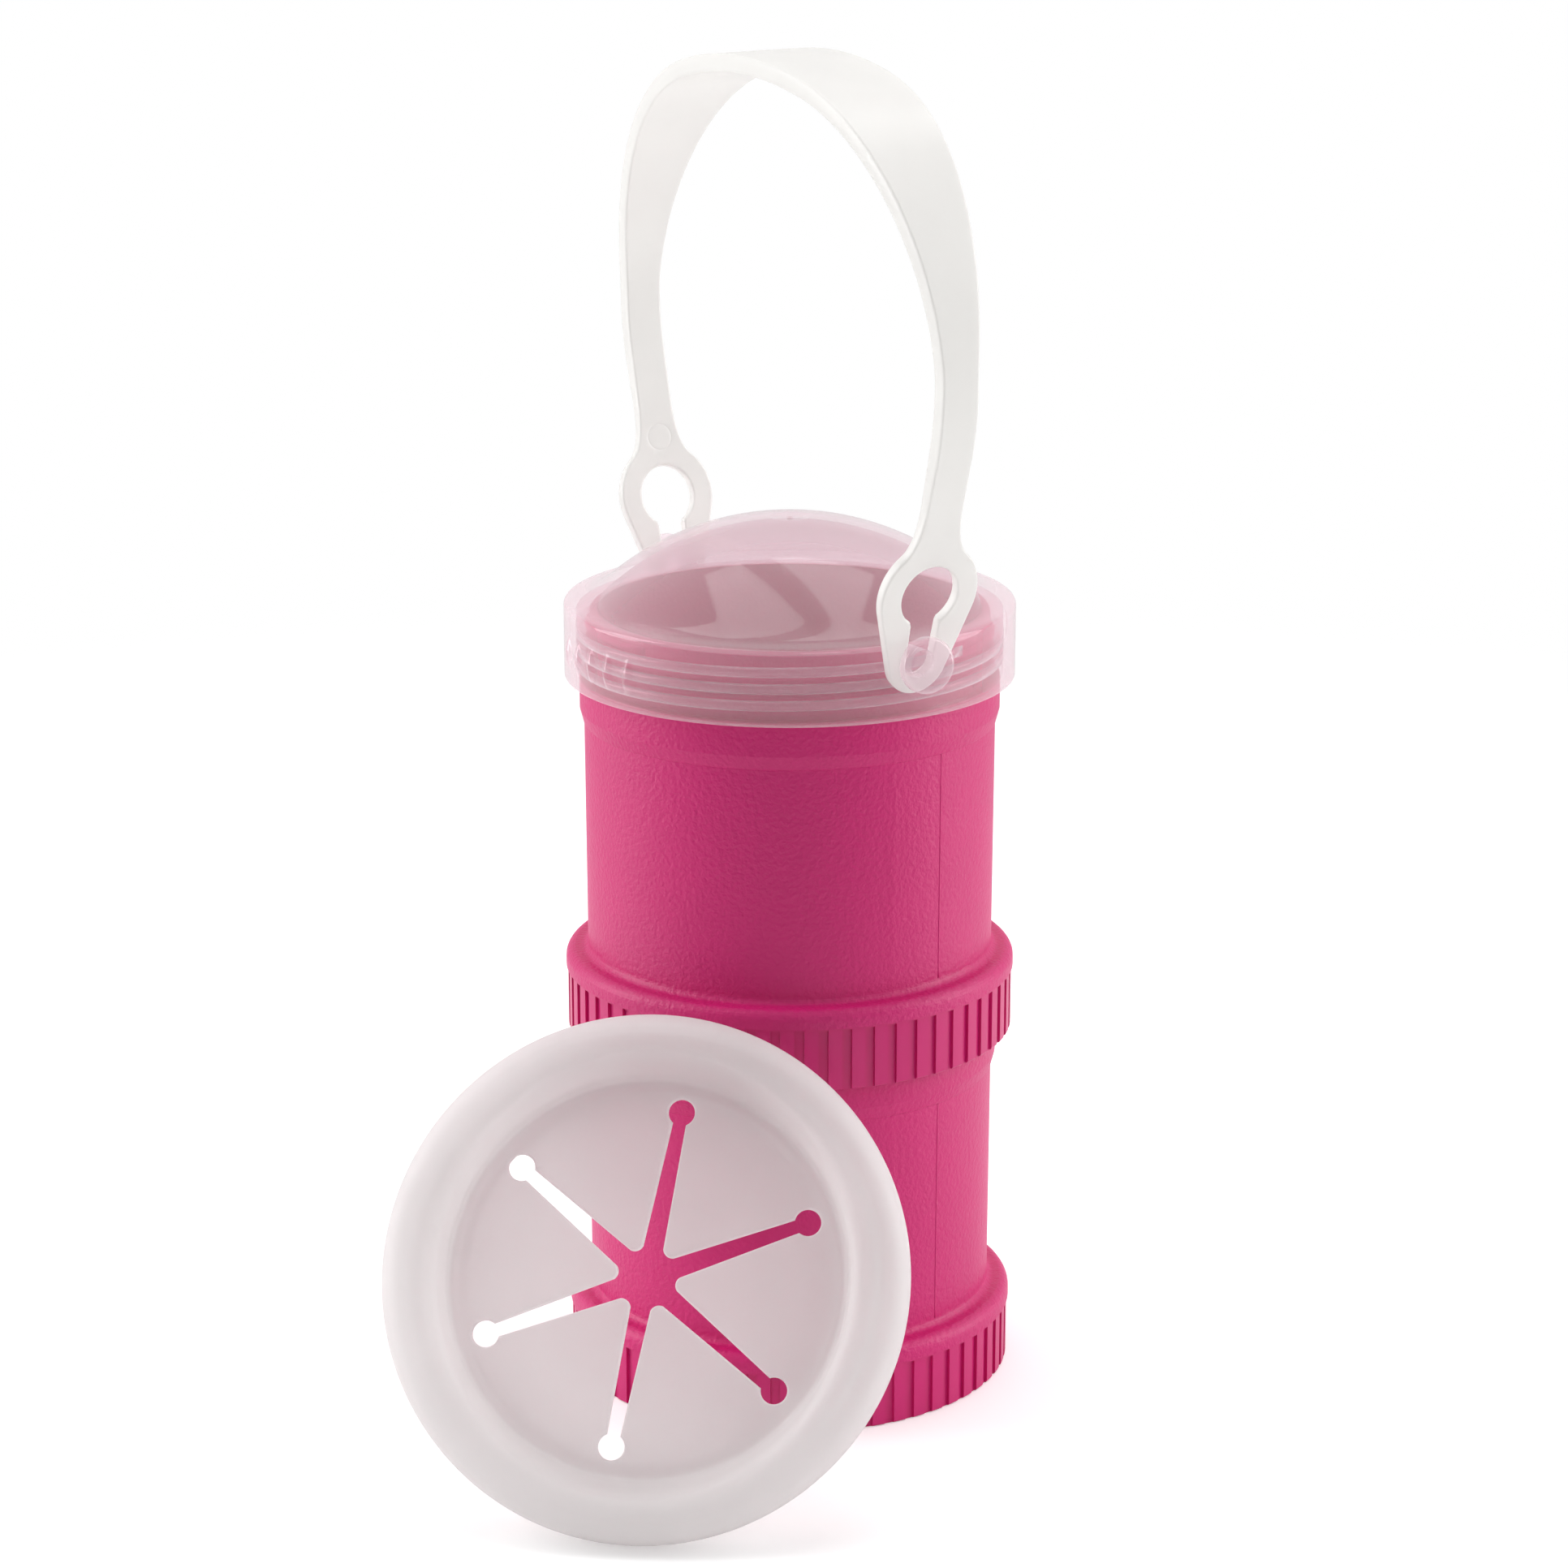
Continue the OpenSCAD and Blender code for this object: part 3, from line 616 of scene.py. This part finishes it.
# Half section of the rim, from the web's front round the rim, skirt and plug to the web's back
RIM = [
    (32.4, -3.0), (33.9, -3.0), (34.6, -2.85), (35.1, -2.3), (35.6, -1.2), (36.3, 0.6), (36.9, 2.0),
    (37.7, 3.15), (38.9, 3.8), (40.4, 4.0), (42.0, 3.88), (43.6, 3.35), (44.9, 2.35), (45.7, 0.95),
    (46.0, -0.7), (46.0, -2.4), (45.75, -3.7), (45.2, -4.6), (44.65, -4.95), (44.25, -4.6),
    (44.1, -3.6), (44.0, -1.6), (43.8, -0.2), (43.2, 1.0), (42.3, 1.7), (41.2, 1.95), (40.3, 1.6),
    (39.8, 0.8), (39.7, -0.6), (39.7, -10.6), (39.45, -11.9), (38.8, -12.4), (38.05, -12.2),
    (37.72, -11.4), (37.7, -6.0), (37.45, -5.0), (36.8, -4.65), (35.6, -4.65), (34.95, -5.0),
    (34.7, -6.0), (34.7, -10.2), (34.4, -10.95), (33.85, -11.1), (33.3, -10.8), (33.1, -10.0),
    (33.1, -5.4), (32.95, -4.8), (32.4, -4.6),
]


def smooth_line(points, n):
    """A smooth curve through the points, with n steps between each two."""
    p = [np.array(q, float) for q in points]
    p = [2 * p[0] - p[1]] + p + [2 * p[-1] - p[-2]]
    out = []
    for i in range(1, len(p) - 2):
        a, b, c, d = p[i - 1 : i + 3]
        ta = (c - a) * min(1, np.hypot(*(c - b)) * 2 / max(np.hypot(*(c - a)), 1e-9))
        tb = (d - b) * min(1, np.hypot(*(c - b)) * 2 / max(np.hypot(*(d - b)), 1e-9))
        for k in range(n):
            t = k / n
            out.append(
                (2 * t**3 - 3 * t * t + 1) * b + (t**3 - 2 * t * t + t) * ta / 2
                + (3 * t * t - 2 * t**3) * c + (t**3 - t * t) * tb / 2
            )
    out.append(p[-2])
    return out


def star_loop():
    half = 180 / SLOTS
    tip = PETAL_TIP + PETAL_ROUND
    opening = np.degrees(asin(SLOT_W / 2 / BULB_R))
    out = []
    for k in range(SLOTS):
        slot = arc(BULB_DIST, 0, BULB_R, opening - 180, 180 - opening, 36)
        for x, y in slot:
            a = radians(CAP_TURN + k * 2 * half)
            out.append((x * cos(a) - y * sin(a), x * sin(a) + y * cos(a)))
        for x, y in arc(tip, 0, PETAL_ROUND, 255 - half, 105 + half, 14):
            a = radians(CAP_TURN + (2 * k + 1) * half)
            out.append((x * cos(a) - y * sin(a), x * sin(a) + y * cos(a)))
    return out


AROUND = 240
rim_turn = [2 * pi * i / AROUND for i in range(AROUND)]
web_loop = [(WEB_R * cos(a), WEB_R * sin(a)) for a in rim_turn]
web_flat, web_tris, web_gap = plate([web_loop, star_loop()], WEB_EDGE, 1.6, step=0.9, square=(0,))
web_mid = WEB_FRONT - WEB_T / 2
web_half = WEB_T / 2 * swell(web_gap, WEB_EDGE)


def web_place(i, side):
    x, y = web_flat[i]
    return (x, y, web_mid + web_half[i] * side)


verts, faces = two_skins(web_flat, web_tris, web_gap < 1e-5, web_place)
section = smooth_line(RIM, 3)
# The soft rim's lip is drawn a little oval: by how much, and along which direction
OVAL, OVAL_AXIS = 1.1, radians(90)
LIP_FROM, LIP_TO, LIP_LOW = 35.1, 42.5, -2.4


def lip_share(r, z):
    """How far this place of the rim's section follows the lip's oval, from 0 to 1."""
    if z <= LIP_LOW or r >= LIP_TO or (z < 2.0 and r > 39.5):
        return 0.0
    return max(0.0, min(1.0, (r - LIP_FROM) / 2.0, (LIP_TO - r) / 3.0))


base = len(verts)
for r, z in section:
    lip = lip_share(r, z)
    for a in rim_turn:
        rr = r + lip * OVAL * cos(2 * (a - OVAL_AXIS))
        verts.append((rr * cos(a), rr * sin(a), z))
for i in range(len(section) - 1):
    for j in range(AROUND):
        a, b = base + i * AROUND + j, base + i * AROUND + (j + 1) % AROUND
        faces.append((a, b, b + AROUND, a + AROUND))

touch = radians(CAP_TOUCH)
skirt_c = CAP_SKIRT_OUT - CAP_SKIRT_EDGE
stand_off = RIB_R + CAP_GAP + CAP_SKIRT_EDGE
back = CAP_SKIRT_H - (WEB_FRONT - WEB_T) - CAP_SKIRT_EDGE
tall, deep = CAP_SIDE_C + skirt_c * cos(touch), back - CAP_SIDE_H
lean = acos((POD_PITCH + CAP_TOUCH_UP - CAP_SIDE_ROUND) / hypot(tall, deep)) - atan2(deep, tall)
cap_reach = sqrt(cos(touch) ** 2 + (sin(lean) * sin(touch)) ** 2)
ahead = skirt_c * sin(lean) * cos(touch) + back * cos(lean) + stand_off * cos(touch) / cap_reach
aside = skirt_c * sin(touch) + stand_off * sin(lean) * sin(touch) / cap_reach
rise = CAP_SIDE_C * cos(lean) + CAP_SIDE_H * sin(lean) + CAP_SIDE_ROUND
to_world = (
    Matrix.Rotation(radians(CAP_FACE), 4, "Z")
    @ Matrix.Translation((-aside, -ahead, rise))
    @ Matrix.Rotation(radians(90) - lean, 4, "X")
)
verts = [tuple(to_world @ Vector(v)) for v in verts]
cap = piece("snack_lid_soft", verts, faces, cap_plastic, "snack_lid")
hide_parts("snack_lid")


# Floor, light and camera
def floor_finish():
    n = Net("floor_pale")
    where = n.add("TexCoord").outputs["Object"]
    far = n.add("VectorMath", {0: where}, operation="LENGTH").outputs["Value"]
    fade = n.add("MapRange", {"Value": far, "From Min": 0.3, "From Max": 0.62})
    fade.interpolation_type = "SMOOTHSTEP"
    tone = n.ramp(n.noise(where, 6, 2.0), [(0.3, (0.9, 0.9, 0.9)), (0.7, (0.91, 0.91, 0.91))])
    matte = n.add("BsdfDiffuse", {"Color": tone})
    path = n.add("LightPath")
    seen = n.math("MAXIMUM", path.outputs["Is Camera Ray"], path.outputs["Is Transmission Ray"])
    lift = n.add("Emission", {"Color": (1, 1, 1, 1), "Strength": n.math("MULTIPLY", seen, 0.25)})
    both = n.add("AddShader", {0: matte.outputs[0], 1: lift.outputs[0]})
    clear = n.add("BsdfTransparent", {"Color": (1, 1, 1, 1)})
    mix = n.add("MixShader", {"Fac": fade.outputs[0], 1: both.outputs[0], 2: clear.outputs[0]})
    return n.out(mix.outputs[0])


# The floor is a disc, in metres, a hair below the collar's foot
FLOOR_Z, FLOOR_RINGS, FLOOR_STEP, FLOOR_SIDES = -0.00005, 14, 0.05, 64
me = bpy.data.meshes.new("floor")
floor_verts = [(0, 0, FLOOR_Z)]
floor_faces = []
for k in range(1, FLOOR_RINGS + 1):
    r = FLOOR_STEP * k
    for i in range(FLOOR_SIDES):
        a = 2 * pi * i / FLOOR_SIDES
        floor_verts.append((r * cos(a), r * sin(a), FLOOR_Z))
for i in range(FLOOR_SIDES):
    floor_faces.append((0, 1 + i, 1 + (i + 1) % FLOOR_SIDES))
for k in range(FLOOR_RINGS - 1):
    for i in range(FLOOR_SIDES):
        a = 1 + k * FLOOR_SIDES + i
        b = 1 + k * FLOOR_SIDES + (i + 1) % FLOOR_SIDES
        floor_faces.append((a, a + FLOOR_SIDES, b + FLOOR_SIDES, b))
me.from_pydata(floor_verts, [], floor_faces)
me.materials.append(floor_finish())
floor = bpy.data.objects.new("floor", me)
scene.collection.objects.link(floor)

AZ, EL = radians(60.6), radians(15.57)
to_camera = Vector((sin(AZ), -cos(AZ), 0))
to_right = Vector((cos(AZ), sin(AZ), 0))

# The room's own light, from behind and beside the object and from the camera's side
BACK_FILL, FRONT_FILL = 0.73, 0.24
LEFT_W, RIGHT_W, TOP_W, FRONT_W = 7.3, 6.2, 4.9, 1.5

world = bpy.data.worlds.new("studio")
scene.world = world
world.use_nodes = True
wt = world.node_tree
wt.nodes.clear()
path = wt.nodes.new("ShaderNodeLightPath")
seen = wt.nodes.new("ShaderNodeMath")
seen.operation = "MAXIMUM"
wt.links.new(path.outputs["Is Camera Ray"], seen.inputs[0])
wt.links.new(path.outputs["Is Transmission Ray"], seen.inputs[1])
soft_fill = wt.nodes.new("ShaderNodeBackground")
soft_fill.inputs["Color"].default_value = (1, 1, 1, 1)
ahead_of = wt.nodes.new("ShaderNodeVectorMath")
ahead_of.operation = "DOT_PRODUCT"
wt.links.new(wt.nodes.new("ShaderNodeTexCoord").outputs["Generated"], ahead_of.inputs[0])
ahead_of.inputs[1].default_value = to_camera
level = wt.nodes.new("ShaderNodeMapRange")
level.interpolation_type = "SMOOTHSTEP"
for label, value in (("From Min", -0.1), ("From Max", 0.6), ("To Min", BACK_FILL), ("To Max", FRONT_FILL)):
    level.inputs[label].default_value = value
wt.links.new(ahead_of.outputs["Value"], level.inputs["Value"])
wt.links.new(level.outputs["Result"], soft_fill.inputs["Strength"])
white = wt.nodes.new("ShaderNodeBackground")
white.inputs["Color"].default_value = (1, 1, 1, 1)
white.inputs["Strength"].default_value = 1.0
pick = wt.nodes.new("ShaderNodeMixShader")
wt.links.new(seen.outputs[0], pick.inputs[0])
wt.links.new(soft_fill.outputs[0], pick.inputs[1])
wt.links.new(white.outputs[0], pick.inputs[2])
wo = wt.nodes.new("ShaderNodeOutputWorld")
wt.links.new(pick.outputs[0], wo.inputs[0])


def softbox(name, right, front, up, width, height, power, aim=(0, 0, 0.12)):
    """An area lamp, placed by how far it stands to the camera's right, towards it, and up."""
    data = bpy.data.lights.new(name, "AREA")
    data.shape = "RECTANGLE"
    data.size, data.size_y = width, height
    data.energy = power
    o = bpy.data.objects.new(name, data)
    o.location = to_right * right + to_camera * front + Vector((0, 0, up))
    o.rotation_mode = "QUATERNION"
    o.rotation_quaternion = (Vector(aim) - o.location).to_track_quat("-Z", "Y")
    scene.collection.objects.link(o)
    return o


softbox("left_box", -0.95, -0.1, 0.45, 0.6, 1.0, LEFT_W)
softbox("right_box", 0.95, -0.05, 0.4, 0.6, 1.0, RIGHT_W)
softbox("top_box", 0.0, -0.2, 1.2, 0.9, 0.9, TOP_W)
softbox("front_box", 0.35, 1.1, 0.75, 0.5, 0.5, FRONT_W)

cam_data = bpy.data.cameras.new("camera")
cam_data.sensor_width = 36.0
FOCAL_PX, FRAME_PX = 5200, 1932
cam_data.lens = cam_data.sensor_width * FOCAL_PX / FRAME_PX
cam_data.clip_start, cam_data.clip_end = 0.05, 20
cam = bpy.data.objects.new("camera", cam_data)
scene.collection.objects.link(cam)
scene.camera = cam
YAW, CAMERA_AWAY = 0.0014, 0.7768
centre = Vector((0, 0, 0.11105))
eye = centre + Vector((sin(AZ) * cos(EL), -cos(AZ) * cos(EL), sin(EL))) * CAMERA_AWAY
a2 = AZ + YAW
z_axis = Vector((sin(a2) * cos(EL), -cos(a2) * cos(EL), sin(EL)))
x_axis = Vector((cos(a2), sin(a2), 0))
y_axis = z_axis.cross(x_axis)
turn = Matrix((x_axis, y_axis, z_axis)).transposed()
cam.matrix_world = Matrix.Translation(eye) @ turn.to_4x4()

scene.view_settings.view_transform = "Standard"
